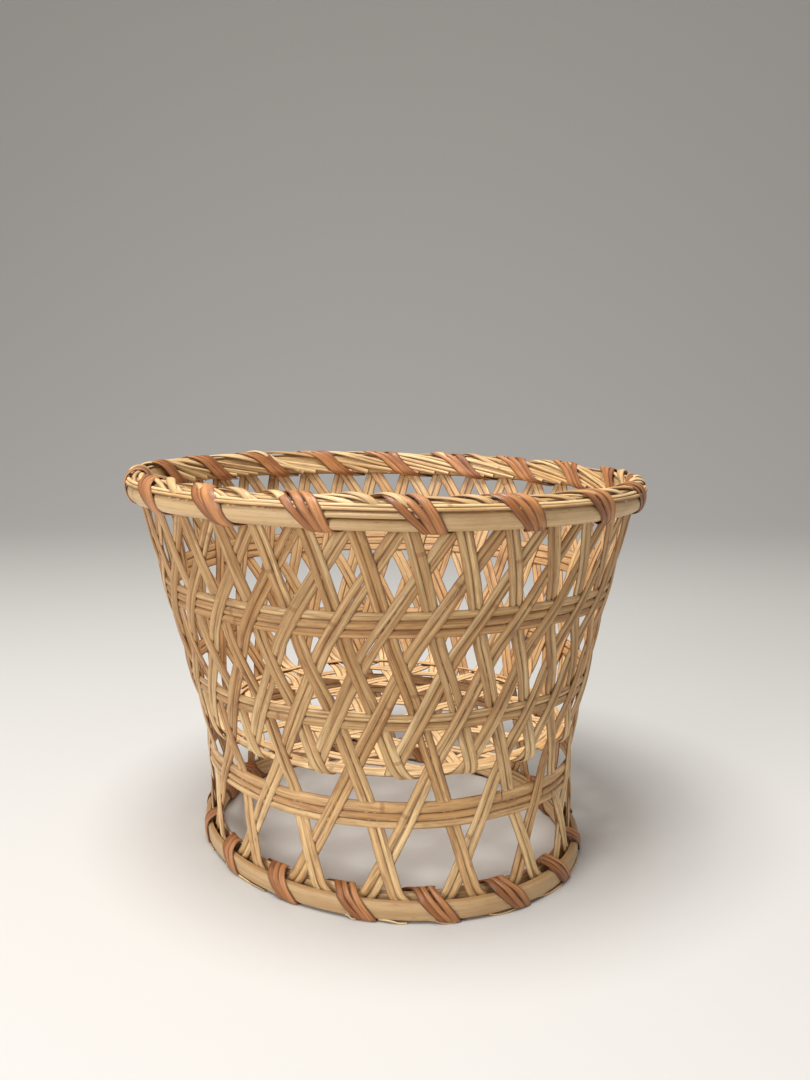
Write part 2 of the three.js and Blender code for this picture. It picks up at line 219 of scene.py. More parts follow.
def tube(name, rings, skin, edge, tone, is_loop=False):
    """A closed skin through rings of points, from a grid whose two sides are joined.

    Its map holds metres along and round the piece. Skin is 1 on the bark side of a strip, edge is 1
    at its edges, where painted shade darkens them, and tone is the strip's own tone of colour.
    """
    rings = np.asarray(rings, float)
    count, sides = rings.shape[:2]
    spans = count if is_loop else count - 1
    bpy.ops.object.select_all(action="DESELECT")
    bpy.ops.mesh.primitive_grid_add(x_subdivisions=sides, y_subdivisions=spans, size=1)
    piece = bpy.context.active_object
    piece.name = piece.data.name = name
    mesh = piece.data
    rows, columns = np.arange(spans + 1) % count, np.arange(sides + 1) % sides
    placed = rings[rows][:, columns]
    mesh.vertices.foreach_set("co", (settled(placed.reshape(-1, 3)) * METRE).ravel())
    along = length_along(placed.mean(1)) * METRE
    around = length_along(placed[len(placed) // 2]) * METRE
    layer = mesh.uv_layers[0]
    layer.name = "fibre"
    places = np.zeros(len(layer.data) * 2, np.float32)
    layer.data.foreach_get("uv", places)
    column = np.rint(places[0::2] * sides).astype(int)
    row = np.rint(places[1::2] * spans).astype(int)
    layer.data.foreach_set("uv", np.stack([along[row], around[column]], 1).astype(np.float32).ravel())
    for title, values in (
        ("skin", np.tile(np.asarray(skin, float)[columns], spans + 1)),
        ("edge", np.tile(np.asarray(edge, float)[columns], spans + 1)),
        ("tone", np.full((spans + 1) * (sides + 1), tone)),
    ):
        mesh.attributes.new(title, "FLOAT", "POINT").data.foreach_set("value", values)
    bpy.ops.object.mode_set(mode="EDIT")
    bpy.ops.mesh.select_all(action="SELECT")
    bpy.ops.mesh.remove_doubles(threshold=1e-6)
    if not is_loop:
        bpy.ops.mesh.select_all(action="SELECT")
        bpy.ops.mesh.fill_holes(sides=0)
    bpy.ops.mesh.select_all(action="SELECT")
    bpy.ops.mesh.normals_make_consistent(inside=False)
    bpy.ops.object.mode_set(mode="OBJECT")
    return piece


smooth_angle = math.radians(55)


def joined(name, parts):
    """One piece of several skins, shaded smooth but for its sharper edges"""
    bpy.ops.object.select_all(action="DESELECT")
    for part in parts:
        part.select_set(True)
    bpy.context.view_layer.objects.active = parts[0]
    if len(parts) > 1:
        bpy.ops.object.join()
    parts[0].name = parts[0].data.name = name
    bpy.ops.object.shade_smooth_by_angle(angle=smooth_angle)
    return parts[0]


# A strip's section, as shares of half its width and half its thickness: domed on the bark side
strip_section = np.array([
    (0, 1.95), (0.5, 1.5), (0.84, 0.6), (1, -0.2), (0.94, -0.7), (0.6, -1),
    (0, -1), (-0.6, -1), (-0.94, -0.7), (-1, -0.2), (-0.84, 0.6), (-0.5, 1.5),
])
strip_skin = np.clip(strip_section[:, 1] + 0.5, 0, 1)
# Edge is 1 at a strip's sides, where its colour is darkened as painted shade between strips
strip_edge_shade = np.clip((np.abs(strip_section[:, 0]) - 0.79) * 6, 0, 1)

# Knots come at this spacing in metres, and a strip's tone shifts them along it
knot_spacing = 0.34
knot_shift = 13
knot_length = 1.8


def strip(name, centre, out, offset, width, thickness, chance, drift=None, wobble=1.0):
    """One split strip along a route: a little uneven in place, width and turn, with swollen knots"""
    run = length_along(centre)
    ahead = unit(np.gradient(centre, axis=0))
    across = unit(np.cross(out, ahead))
    out = np.cross(ahead, across)
    tone = chance.random()
    place = offset + wobble * uneven(chance, 0.14, 140)(run)
    if drift is not None:
        place = place + drift(run)
    half = width / 2 * (1 + wobble * uneven(chance, 0.05, 70)(run))
    turn = wobble * uneven(chance, math.radians(4.5), 80)(run)
    from_knot = (run * METRE / knot_spacing + tone * knot_shift) % 1 - 0.5
    knot = np.exp(-((from_knot * knot_spacing / METRE / knot_length) ** 2))
    half = half * (1 + 0.06 * knot)
    deep = thickness / 2 * (1 + 0.12 * knot)
    side = across * np.cos(turn)[:, None] + out * np.sin(turn)[:, None]
    face = out * np.cos(turn)[:, None] - across * np.sin(turn)[:, None]
    rings = (
        (centre + across * np.reshape(place, (-1, 1)))[:, None]
        + side[:, None] * (strip_section[:, 0] * half[:, None])[..., None]
        + face[:, None] * (strip_section[:, 1] * deep[:, None])[..., None]
    )
    return tube(name, rings, strip_skin, strip_edge_shade, tone)


pair_width = 8.4
pair_gap = -0.12


def pair(name, centre, out, chance):
    """Two strips side by side that share one route, one often a little wider than the other"""
    drift = uneven(chance, 0.35, 260)
    opening = uneven(chance, 0.19, 150)
    first = (pair_width - pair_gap) * chance.uniform(0.43, 0.57)
    parts = []
    for side, width in ((-1, first), (1, pair_width - pair_gap - first)):
        offset = side * (pair_gap + width) / 2
        parts.append(strip(name, centre, out, offset, width, strand_thickness, chance,
                           drift=lambda run, side=side: drift(run) + side * opening(run)))
    return joined(name, parts)


def layer_at_row(row, leans_right):
    if row % 2 == 1:
        return layer_step if leans_right else -layer_step
    return -layer_step / 2 if leans_right else layer_step / 2


def reach_at_row(row):
    """Half the height of the patch where two leaning strands cover each other"""
    if row == foot_band_row:
        return (sum(foot_band_strips) + band_gap * 2) / 2 + foot_band_room
    per_degree = wall_radius(row_height(row)) * math.radians(1)
    covered = sum(strand_width * math.hypot(1, lean * per_degree) for lean in (right_lean, left_lean)) / 2
    return crossing_room * covered / (closing * per_degree)


def wall_stations(base, leans_right, from_row):
    """A strand's way up the wall from one row to the rim, as azimuth, height and layer"""
    lean = right_lean if leans_right else left_lean
    stations = []
    for row in range(from_row, last_plain_row + 1):
        layer = layer_at_row(row, leans_right)
        reach = reach_at_row(row)
        if row > from_row:
            stations.append((row_height(row) - reach, layer))
        if row < last_plain_row:
            stations.append((row_height(row) + reach, layer))
    rim_layer = layer_at_row(last_plain_row, leans_right)
    corner = strand_width / 2 * math.sin(math.atan(abs(lean) * rim_radius * math.radians(1)))
    clamp_top = rim_hoop_height / 2 + rim_inner_rise
    end = rim_height + clamp_top * math.cos(wall_tilt(rim_height)) - corner
    stations += [(rim_height - rim_hoop_height / 2, rim_layer), (end, rim_layer)]
    return [(base + lean * (z - first_row), z, layer) for z, layer in stations]


def stake_route(index):
    """Down the wall from the rim, round inside the foot ring, and up again to the rim"""
    right_base = first_v + v_pitch * index
    left_base = right_base - v_pitch
    enter = foot_hoop_top + entry_room
    low = lashing_room + strand_width / 2 + turn_room
    right_layer, left_layer = layer_at_row(0, True), layer_at_row(0, False)
    right_enter = right_base + right_lean * (enter - first_row)
    left_enter = left_base + left_lean * (enter - first_row)
    turn = turn_share * (right_enter - left_enter)
    stations = wall_stations(right_base, True, 0)[::-1] + [
        (right_enter, enter, right_layer),
        (right_enter - turn, low, right_layer),
        (left_enter + turn, low, left_layer),
        (left_enter, enter, left_layer),
    ] + wall_stations(left_base, False, 0)
    return eased(*on_wall(*closer(stations).T))


def linear(red, green, blue):
    """A colour as the eye reads it, 0 to 255, turned to the shader's own scale"""
    shares = [value / 255 for value in (red, green, blue)]
    scale = [s / 12.92 if s <= 0.04045 else ((s + 0.055) / 1.055) ** 2.4 for s in shares]
    return (*scale, 1)


def node(tree, kind, inputs=None, **settings):
    made = tree.nodes.new(kind)
    for key, value in settings.items():
        setattr(made, key, value)
    for key, value in (inputs or {}).items():
        if isinstance(value, bpy.types.NodeSocket):
            tree.links.new(value, made.inputs[key])
        else:
            made.inputs[key].default_value = value
    return made


def maths(tree, operation, first, second=0.0):
    return node(tree, "ShaderNodeMath", {0: first, 1: second}, operation=operation).outputs[0]


def blended(tree, factor, first, second):
    return node(tree, "ShaderNodeMix", {0: factor, 6: first, 7: second}, data_type="RGBA").outputs[2]


def ranged(tree, value, low, high, to_low=0.0, to_high=1.0):
    return node(tree, "ShaderNodeMapRange", {
        "Value": value, "From Min": low, "From Max": high, "To Min": to_low, "To Max": to_high,
    }).outputs[0]


def new_group(name, inputs, outputs):
    """A shader node group. Its sockets are given by kind, each kind with its titles."""
    group = bpy.data.node_groups.new(name, "ShaderNodeTree")
    for way, sockets in (("INPUT", inputs), ("OUTPUT", outputs)):
        for kind, titles in sockets.items():
            for title in titles:
                group.interface.new_socket(title, in_out=way, socket_type=kind)
    return group, group.nodes.new("NodeGroupInput"), group.nodes.new("NodeGroupOutput")


number, colour, vector = "NodeSocketFloat", "NodeSocketColor", "NodeSocketVector"
fibre_marks = ("Fibre", "Streak", "Stain", "Speck", "Knot")

# A strip's tone shifts its grain too. A knot's dark line fades between these shares of the spacing.
grain_shift = 57
knot_line = (0.0022, 0.0045)
knot_ripple = 0.004


def make_fibre_group():
    """Split bamboo's grain along a strip: fine fibres, broad streaks, stains, specks and knot lines"""
    group, given, result = new_group(
        "bamboo_fibre", {vector: ("Place",), number: ("Tone", "Knot spacing")},
        {number: (*fibre_marks, "Height")})
    split = node(group, "ShaderNodeSeparateXYZ", {0: given.outputs["Place"]})
    along, around = split.outputs[0], split.outputs[1]
    tone = given.outputs["Tone"]
    own = maths(group, "MULTIPLY", tone, grain_shift)

    def pattern(along_scale, around_scale, detail, shift=0.0):
        place = node(group, "ShaderNodeCombineXYZ", {
            0: maths(group, "MULTIPLY", along, along_scale),
            1: maths(group, "MULTIPLY", around, around_scale),
            2: maths(group, "ADD", own, shift)})
        return node(group, "ShaderNodeTexNoise", {
            "Vector": place.outputs[0], "Scale": 1.0, "Detail": detail, "Roughness": 0.6}).outputs[0]

    fibre = ranged(group, pattern(60, 1050, 4), 0.47, 0.72)
    streak = ranged(group, pattern(9, 420, 2, 11), 0.35, 0.65)
    stain = ranged(group, pattern(34, 90, 3, 23), 0.52, 0.72)
    speck = ranged(group, pattern(170, 800, 3, 37), 0.6, 0.74)
    count = maths(group, "DIVIDE", along, given.outputs["Knot spacing"])
    count = maths(group, "ADD", count, maths(group, "MULTIPLY", tone, knot_shift))
    ripple = maths(group, "MULTIPLY", pattern(60, 500, 1, 51), knot_ripple)
    share = maths(group, "FRACT", maths(group, "ADD", count, ripple))
    off = maths(group, "ABSOLUTE", maths(group, "SUBTRACT", share, 0.5 + knot_ripple / 2))
    knot = ranged(group, off, *knot_line, 1.0, 0.0)
    height = maths(group, "ADD", maths(group, "MULTIPLY", fibre, 0.5),
                   maths(group, "MULTIPLY", streak, 0.5))
    height = maths(group, "SUBTRACT", height, maths(group, "MULTIPLY", knot, 0.6))
    for title, value in zip((*fibre_marks, "Height"), (fibre, streak, stain, speck, knot, height)):
        group.links.new(value, result.inputs[title])
    return group


fibre_group = make_fibre_group()


def make_tint_group():
    """A strip's colour: its own tone, the bark side against the split side, grain, and painted shade at
    its edges
    """
    group, given, result = new_group("bamboo_tint", {
        colour: ("Pale", "Deep", "Split side", "Grain and shade", "Stain colour", "Browned colour"),
        number: ("Tone", "Skin", "Painted edge shade", *fibre_marks, "Grain amount", "Stain amount", "Browned"),
    }, {colour: ("Colour",)})
    take = given.outputs
    shade = maths(group, "ADD", maths(group, "MULTIPLY", take["Tone"], 0.75),
                  maths(group, "MULTIPLY", take["Streak"], 0.3))
    base = blended(group, shade, take["Pale"], take["Deep"])
    base = blended(group, maths(group, "MULTIPLY", maths(group, "SUBTRACT", 1.0, take["Skin"]), 0.75),
                   base, take["Split side"])
    brown = maths(group, "MULTIPLY", take["Browned"], maths(group, "ADD", 0.45, take["Streak"]))
    brown = maths(group, "MULTIPLY", brown, ranged(group, take["Skin"], 0, 1, 0.4, 1))
    base = blended(group, brown, base, take["Browned colour"])
    # The edge mark is painted shade: the grain colour darkens each strip's edges, where strips meet and
    # turn from the light.
    for mark, amount, darker in (
        ("Stain", take["Stain amount"], "Stain colour"), ("Fibre", take["Grain amount"], "Grain and shade"),
        ("Painted edge shade", 0.92, "Grain and shade"), ("Speck", 0.5, "Stain colour"), ("Knot", 0.45, "Stain colour"),
    ):
        base = blended(group, maths(group, "MULTIPLY", take[mark], amount), base, take[darker])
    group.links.new(base, result.inputs["Colour"])
    return group


tint_group = make_tint_group()

browned_colour = (152, 102, 46)
grain_relief = 0.00025


# The grain colour darkens the fibres, and also paints shade on the strips' edges.
def fibre_material(name, pale, deep, split_side, grain_and_shade, stain, roughness, grain_amount,
                   stain_amount=0.4, spacing=knot_spacing, browned=0.0, brown_heights=(0.045, 0.1)):
    """A finish of split bamboo or of bark. It browns upwards, between two heights in metres."""
    material = bpy.data.materials.new(name)
    material.use_nodes = True
    tree = material.node_tree
    shader = tree.nodes["Principled BSDF"]
    place = node(tree, "ShaderNodeUVMap", uv_map="fibre").outputs[0]
    tone, skin, edge = (
        node(tree, "ShaderNodeAttribute", attribute_name=title).outputs["Fac"]
        for title in ("tone", "skin", "edge"))
    fibre = node(tree, "ShaderNodeGroup", {"Place": place, "Tone": tone, "Knot spacing": spacing},
                 node_tree=fibre_group)
    height = node(tree, "ShaderNodeSeparateXYZ", {
        0: node(tree, "ShaderNodeTexCoord").outputs["Object"]}).outputs[2]
    tint = node(tree, "ShaderNodeGroup", {
        "Pale": linear(*pale), "Deep": linear(*deep), "Split side": linear(*split_side),
        "Grain and shade": linear(*grain_and_shade), "Stain colour": linear(*stain), "Tone": tone, "Skin": skin,
        "Painted edge shade": edge, "Grain amount": grain_amount, "Stain amount": stain_amount,
        "Browned": maths(tree, "MULTIPLY", ranged(tree, height, *brown_heights), browned),
        "Browned colour": linear(*browned_colour)}, node_tree=tint_group)
    for title in fibre_marks:
        tree.links.new(fibre.outputs[title], tint.inputs[title])
    tree.links.new(tint.outputs["Colour"], shader.inputs["Base Color"])
    low, high = roughness
    tree.links.new(ranged(tree, fibre.outputs["Streak"], 0, 1, low, high), shader.inputs["Roughness"])
    bump = node(tree, "ShaderNodeBump", {
        "Height": fibre.outputs["Height"], "Strength": 0.8, "Distance": grain_relief})
    tree.links.new(bump.outputs[0], shader.inputs["Normal"])
    return material


strand_bamboo = fibre_material(
    "strand_bamboo", pale=(249, 215, 158), deep=(205, 153, 96), split_side=(232, 188, 136),
    grain_and_shade=(108, 67, 33), stain=(128, 77, 40), roughness=(0.38, 0.58), grain_amount=0.55,
    stain_amount=0.7, browned=0.48)


def fitted(piece, material, slot, *nodes):
    """The piece gets its finish, rides on the basket and stands for its CAD nodes"""
    piece.data.materials.clear()
    piece.data.materials.append(material)
    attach(piece, "root")
    if nodes:
        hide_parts(*nodes)


for index in range(v_count):
    node_name = f"foot_stake_{index + 1:02d}"
    chance = random.Random(100 + index)
    piece = pair(f"{node_name}_strips", *stake_route(index), chance)
    fitted(piece, strand_bamboo, "strand_bamboo", node_name)


# Floor strands.
# Six strands in each of three directions weave the raised floor. Each is a pair of split strips that
# bends over the floor's edge at both ends and goes on up the wall.

floor_row = 2
floor_directions = 3
floor_lines = v_count // floor_directions
floor_pitch = 34
floor_reach = 2.95 * floor_pitch
floor_crossing_room = 1.02
floor_azimuth = 10.9
floor_depth_radius = 10
edge_radius = 5.5
edge_slack = 0.4
edge_stations = 8

# The floor lies as deep as a wide bend would lay it, and the strips bend on to it more sharply
edge_tilt = float(wall_tilt(row_height(floor_row)))
floor_height = row_height(floor_row) - floor_depth_radius * (1 - math.sin(edge_tilt))
bend_top = floor_height + edge_radius * (1 - math.sin(edge_tilt))
bend_centre = float(wall_radius(bend_top)) - edge_radius * math.cos(edge_tilt)
bend_end = 90 - math.degrees(edge_tilt)


def on_bend(azimuth, turn, layer):
    """Places on the bend at the floor's edge, from flat at no turn to the wall's tilt at its end"""
    out = towards(azimuth) * np.sin(np.radians(turn))[:, None]
    out[:, 2] = -np.cos(np.radians(turn))
    centre = towards(azimuth) * bend_centre
    centre[:, 2] = floor_height + edge_radius
    return centre + out * (edge_radius + layer)[:, None], out


def line_offset(line):
    return (line - (floor_lines - 1) / 2) * floor_pitch


def line_azimuth(direction):
    return floor_azimuth + direction * 180 / floor_directions


def floor_crossings(direction, line):
    """Where a floor strand meets the other two directions: over the one and under the other"""
    offset = line_offset(line)
    found = []
    for step in range(1, floor_directions):
        other = (direction + step) % floor_directions
        between = math.radians(line_azimuth(direction) - line_azimuth(other))
        layer = layer_step / 2 if step == 1 else -layer_step / 2
        for other_line in range(floor_lines):
            along = (line_offset(other_line) - offset * math.cos(between)) / math.sin(between)
            if math.hypot(along, offset) < floor_reach:
                found.append((along, layer))
    return sorted(found)


def azimuth_of(point):
    return math.degrees(math.atan2(point[0], -point[1]))


def rise_from_floor(start, heading):
    """From the last place on the floor up to the rim. The strand leans the way that it heads."""
    leans_right = start[0] * heading[1] - start[1] * heading[0] > 0
    lean = right_lean if leans_right else left_lean
    row_layer = layer_at_row(floor_row, leans_right)
    layer = row_layer + math.copysign(edge_slack, row_layer)
    climb = row_height(floor_row) - first_row
    row_azimuth = first_v + v_pitch / 2 + right_lean * climb
    flat_run = bend_centre - math.hypot(start[0], start[1])
    reach = start + heading * flat_run
    row_meet = row_azimuth + round((azimuth_of(reach) - row_azimuth) / v_pitch) * v_pitch
    meet = row_meet - lean * (row_height(floor_row) - bend_top)
    begin = meet + ((azimuth_of(start) - meet + 540) % 360) - 180
    arc_run = edge_radius * math.radians(bend_end)
    share = np.linspace(0, 1, edge_stations)
    turned = flat_run + share * arc_run
    azimuth = begin + (meet - begin) * turned / (flat_run + arc_run)
    layers = layer + (row_layer - layer) * faded(share, 0.75, 1)
    bend = on_bend(azimuth, share * bend_end, layers)
    base = row_meet - lean * climb
    wall = on_wall(*closer([(meet, bend_top, row_layer), (row_meet, row_height(floor_row), row_layer)]
                           + wall_stations(base, leans_right, floor_row)).T)
    return np.vstack([bend[0][:-1], wall[0]]), np.vstack([bend[1][:-1], wall[1]])


def floor_route(direction, line):
    """Down the wall from the rim, across the floor, and up the far wall to the rim"""
    offset = line_offset(line)
    reach = strand_width / 2 / math.tan(math.radians(90 / floor_directions)) * floor_crossing_room
    places = [(along + side * reach, layer)
              for along, layer in floor_crossings(direction, line) for side in (-1, 1)]
    ahead, beside = towards(line_azimuth(direction)), towards(line_azimuth(direction) + 90)
    centre = np.array([ahead * along + beside * offset + (0, 0, floor_height - layer)
                       for along, layer in places])
    out = np.tile([0.0, 0.0, -1.0], (len(centre), 1))
    near, far = rise_from_floor(centre[0], -ahead), rise_from_floor(centre[-1], ahead)
    return eased(np.vstack([near[0][::-1], centre, far[0]]), np.vstack([near[1][::-1], out, far[1]]))


# Paler than the wall's strands, and browned only above the floor: partly the floor strips' own colour,
# partly painted light for a floor lit from above
floor_bamboo = fibre_material(
    "floor_bamboo", pale=(248, 219, 166), deep=(208, 163, 107), split_side=(236, 200, 148),
    grain_and_shade=(124, 79, 40), stain=(144, 88, 47), roughness=(0.42, 0.6), grain_amount=0.6,
    browned=0.5, brown_heights=(0.084, 0.12))

for direction in range(floor_directions):
    for line in range(floor_lines):
        index = direction * floor_lines + line
        node_name = f"floor_strand_{index + 1:02d}"
        chance = random.Random(200 + index)
        piece = pair(f"{node_name}_strips", *floor_route(direction, line), chance)
        fitted(piece, floor_bamboo, "floor_bamboo", node_name)


# Strips round the floor's edge.
# A few thin split strips lie along the edge on the bent strands, and close the gaps between them.

# Each strip's radius, start, sweep and width
edge_strips = (
    (107.5, -78, 118, 4.6), (104.5, -30, 150, 3.8), (108.0, 52, 130, 4.2), (105.0, 130, 140, 4.0),
    (107.0, 190, 120, 4.4), (101.5, 250, 150, 3.4), (101.5, 20, 120, 3.2),
)
edge_strip_thickness = 0.9
edge_strip_rise = 1.5
edge_strip_lap = 0.35
edge_strip_slope = 0.25
edge_strip_stations = 120

edge_chance = random.Random(250)
edge_parts = []
for index, (radius, start, sweep, width) in enumerate(edge_strips):
    azimuth = start + np.linspace(0, sweep, edge_strip_stations)
    run = np.radians(azimuth - start) * radius
    level = radius + uneven(edge_chance, 0.9, 110)(run)
    centre = towards(azimuth) * level[:, None]
    rise = edge_strip_rise + edge_strip_lap * (index % 2)
    centre[:, 2] = floor_height + rise + uneven(edge_chance, 0.3, 60)(run)
    facing = towards(azimuth) * edge_strip_slope
    facing[:, 2] = 1
    edge_parts.append(
        strip("floor_edge", centre, unit(facing), 0, width, edge_strip_thickness, edge_chance))
fitted(joined("floor_edge_strips", edge_parts), floor_bamboo, "floor_bamboo")


# Bands.
# Three bands of split strips laid edge to edge run round the wall between the leaning strands: three
# strips low down, two at the middle and three high up. Each strip's cut ends meet at one place.

middle_band_row = 3
middle_band_strips = (4.8, 4.6)
upper_band_row = 5
upper_band_strips = (4.6, 4.6, 4.6)
band_thickness = 1.0
band_lap = 0.32
band_sweep = 359.6
ring_stations = 300


def band_strip(name, z, width, start, chance, wave):
    """One strip round the wall, cut at its start"""
    azimuth = np.linspace(start, start + band_sweep, ring_stations)
    centre, out = on_wall(azimuth, z + wave(np.radians(azimuth)), np.zeros(ring_stations))
    band = strip(name, centre, out, 0, width + band_lap, band_thickness, chance, wobble=0.35)
    return joined(name, [band])


def add_band(title, row, widths, starts, seed):
    """A band's strips from the lowest up, all with the same slow rise and fall"""
    upright = math.cos(wall_tilt(row_height(row)))
    chance = random.Random(seed)
    phases = [chance.uniform(0, 2 * math.pi) for _ in range(3)]

    def wave(angle):
        return (0.35 * np.sin(2 * angle + phases[0]) + 0.3 * np.sin(5 * angle + phases[1])
                + 0.2 * np.sin(9 * angle + phases[2]))

    bottom = row_height(row) - (sum(widths) + band_gap * (len(widths) - 1)) * upright / 2
    for index, width in enumerate(widths):
        z = bottom + width * upright / 2
        node_name = f"{title}_{index + 1}"
        piece = band_strip(f"{node_name}_strip", z, width, starts[index], chance, wave)
        fitted(piece, strand_bamboo, "strand_bamboo", node_name)
        bottom += (width + band_gap) * upright


add_band("foot_band", foot_band_row, foot_band_strips, starts=(150, 212, 31), seed=301)
add_band("middle_band", middle_band_row, middle_band_strips, starts=(120, 265), seed=302)
add_band("upper_band", upper_band_row, upper_band_strips, starts=(95, 240, 30), seed=303)


# Hoops.
# The rim and the foot are each held between two hoops of thick split bamboo. The outer ones are
# rounded, and the rim's tapered ends lie on each other at the front. The inner ones are flat.

inner_hoop_clear = 1.85
rim_outer_inside = 2.17
rim_outer_thickness = 4.7
rim_outer_span = (-6, 4.6)
rim_inner_thickness = 1.4
rim_inner_span = (-6, 6.4)
foot_outer_inside = 2.09
foot_outer_thickness = 3.7
foot_inner_thickness = 2.7
foot_span = (lashing_room, foot_hoop_top)
hoop_steps = 240


def ring_point(radius, height, tilt, azimuth, out, up):
    """Places out and up of a ring's seat, in the tilted measures of its wall"""
    level = radius + out * np.cos(tilt) + up * np.sin(tilt)
    point = towards(azimuth) * np.asarray(level)[..., None]
    point[..., 2] = height - out * np.sin(tilt) + up * np.cos(tilt)
    return point


rim_seat = (rim_radius, rim_height, float(wall_tilt(rim_height)))
foot_seat = (foot_radius, 0.0, 0.0)


def rounded_section(inside, thickness, bottom, top, roundness):
    """A hoop's section: flat where it lies on the strands, rounded away from them"""
    angle = np.linspace(-math.pi / 2, math.pi / 2, 16)
    bulge = np.abs(np.cos(angle)) ** roundness
    rise = np.sign(np.sin(angle)) * np.abs(np.sin(angle)) ** roundness
    middle, half = (bottom + top) / 2, (top - bottom) / 2
    out = inside + thickness * (0.05 + 0.95 * bulge)
    up = middle + half * rise
    inner_up = middle + half * np.linspace(0.86, -0.86, 4)
    return np.concatenate([out, np.full(4, inside)]), np.concatenate([up, inner_up])


def hoop(name, seat, section, start, chance, tone, sweep=360, taper=None):
    """A hoop whose section is out and up of the ring's seat. A taper thins its ends. Without one it
    is closed, and starts at the back, behind a wrap of the lashing."""
    out, up = section
    is_loop = taper is None
    azimuth = start + np.linspace(0, sweep, hoop_steps, endpoint=not is_loop)
    run = np.radians(azimuth - start) * seat[0]
    swell = 1 + uneven(chance, 0.025, 140)(run) if not is_loop else np.ones(hoop_steps)
    middle_out, middle_up = out.mean(), up.mean()
    rings = []
    for at, size in zip(azimuth, swell):
        ring_out = middle_out + (out - middle_out) * size
        ring_up = middle_up + (up - middle_up) * size
        if taper:
            ring_up = taper(at, ring_up)
        rings.append(ring_point(*seat, np.full(len(out), at), ring_out, ring_up))
    skin = np.clip((out - out.min()) / (out.max() - out.min()) * 2, 0, 1)
    # The edge mark darkens the hoop's top and bottom as painted shade
    edge = np.clip(np.abs(up - middle_up) / np.ptp(up) * 4 - 1.4, 0, 1)
    return tube(name, rings, skin, edge, tone, is_loop)


# Its deep colour gives the hoops their own darker tone, and also the foot hoops' painted shade
hoop_bamboo = fibre_material(
    "hoop_bamboo", pale=(228, 194, 144), deep=(172, 132, 89), split_side=(222, 184, 130),
    grain_and_shade=(164, 124, 78), stain=(156, 112, 68), roughness=(0.34, 0.5), grain_amount=0.25,
    stain_amount=0.3, spacing=0.43)

scarf_start = -13.7
scarf_end = 7.2
scarf_share = 0.6
scarf_taper = 2.6
scarf_gap = 0.15


def rim_taper(at, up):
    """The hoop's two ends lie one on the other between two wraps of the lashing"""
    bottom, top = low, high = rim_outer_span
    split = low + (high - low) * scarf_share
    if at < scarf_end:
        share = 1 - faded(at, scarf_end - scarf_taper, scarf_end)
        high = high + (split - scarf_gap - high) * share
    if at > scarf_start + 360:
        share = faded(at, scarf_start + 360, scarf_start + 360 + scarf_taper)
        low = low + (split + scarf_gap - low) * share
    return low + (up - bottom) * (high - low) / (top - bottom)


rim_outer = hoop(
    "rim_hoop_outer_rod", rim_seat,
    rounded_section(rim_outer_inside, rim_outer_thickness, *rim_outer_span, roundness=0.95),
    start=scarf_start, chance=random.Random(401), tone=0.2,
    sweep=360 + scarf_end - scarf_start, taper=rim_taper)
fitted(joined("rim_hoop_outer_rod", [rim_outer]), hoop_bamboo, "hoop_bamboo", "rim_hoop_outer")

rim_inner = hoop(
    "rim_hoop_inner_strip", rim_seat,
    rounded_section(-inner_hoop_clear, -rim_inner_thickness, *rim_inner_span, roundness=0.35),
    start=176, chance=random.Random(402), tone=0.5)
fitted(joined("rim_hoop_inner_strip", [rim_inner]), hoop_bamboo, "hoop_bamboo", "rim_hoop_inner")

# The foot's hoops take a darker tone than the rim's: painted shade, for the foot ring lying low in shade
foot_outer = hoop(
    "foot_hoop_outer_strip", foot_seat,
    rounded_section(foot_outer_inside, foot_outer_thickness, *foot_span, roundness=0.42),
    start=171, chance=random.Random(403), tone=0.55)
fitted(joined("foot_hoop_outer_strip", [foot_outer]), hoop_bamboo, "hoop_bamboo", "foot_hoop_outer")

# A darker tone again, as painted shade at the foot
foot_inner = hoop(
    "foot_hoop_inner_strip", foot_seat,
    rounded_section(-inner_hoop_clear, -foot_inner_thickness, *foot_span, roundness=0.4),
    start=182, chance=random.Random(404), tone=0.6)

# The thin strips inside the foot hoop: out, up, width and start
foot_inner_strips = ((-2.7, 10.6, 4.6, 140), (-3.7, 12.2, 3.8, 250), (-4.4, 10.2, 3.6, 20))
foot_strip_thickness = 0.8
foot_strip_sweep = 352

inner_chance = random.Random(405)
inner_parts = [foot_inner]
for out, up, width, start in foot_inner_strips:
    azimuth = start + np.linspace(0, foot_strip_sweep, ring_stations)
    run = np.radians(azimuth - start) * foot_radius
    ups = up + uneven(inner_chance, 0.8, 90)(run)
    outs = out + uneven(inner_chance, 0.25, 70)(run)
    centre = ring_point(*foot_seat, azimuth, outs, ups)
    inner_parts.append(
        strip("foot_inner", centre, towards(azimuth), 0, width, foot_strip_thickness, inner_chance))
fitted(joined("foot_hoop_inner_strip", inner_parts), floor_bamboo, "hoop_bamboo", "foot_hoop_inner")


# Rim filler.
# The strands' ends are bent over along the rim and tucked in like the lay of a rope: up the inside,
# across the top and down behind the outer hoop. A few thin strips run along under them.


def ring_route(seat, azimuth, out, up, out_way, up_way):
    """Places round a ring with their outward directions, in the wall's tilted measures"""
    centre = ring_point(*seat, azimuth, out, up)
    ahead = ring_point(*seat, azimuth, out + out_way, up + up_way) - centre
    return centre, unit(ahead)


def smooth_values(marks, at):
    """Values eased through marks, each a place and its value"""
    places, values = np.array(marks, float).T
    slope = np.gradient(values, places)
    index = np.clip(np.searchsorted(places, at, side="right") - 1, 0, len(places) - 2)
    span = places[index + 1] - places[index]
    t = (at - places[index]) / span
    return ((2 * t**3 - 3 * t**2 + 1) * values[index] + (t**3 - 2 * t**2 + t) * span * slope[index]
            + (3 * t**2 - 2 * t**3) * values[index + 1] + (t**3 - t**2) * span * slope[index + 1])


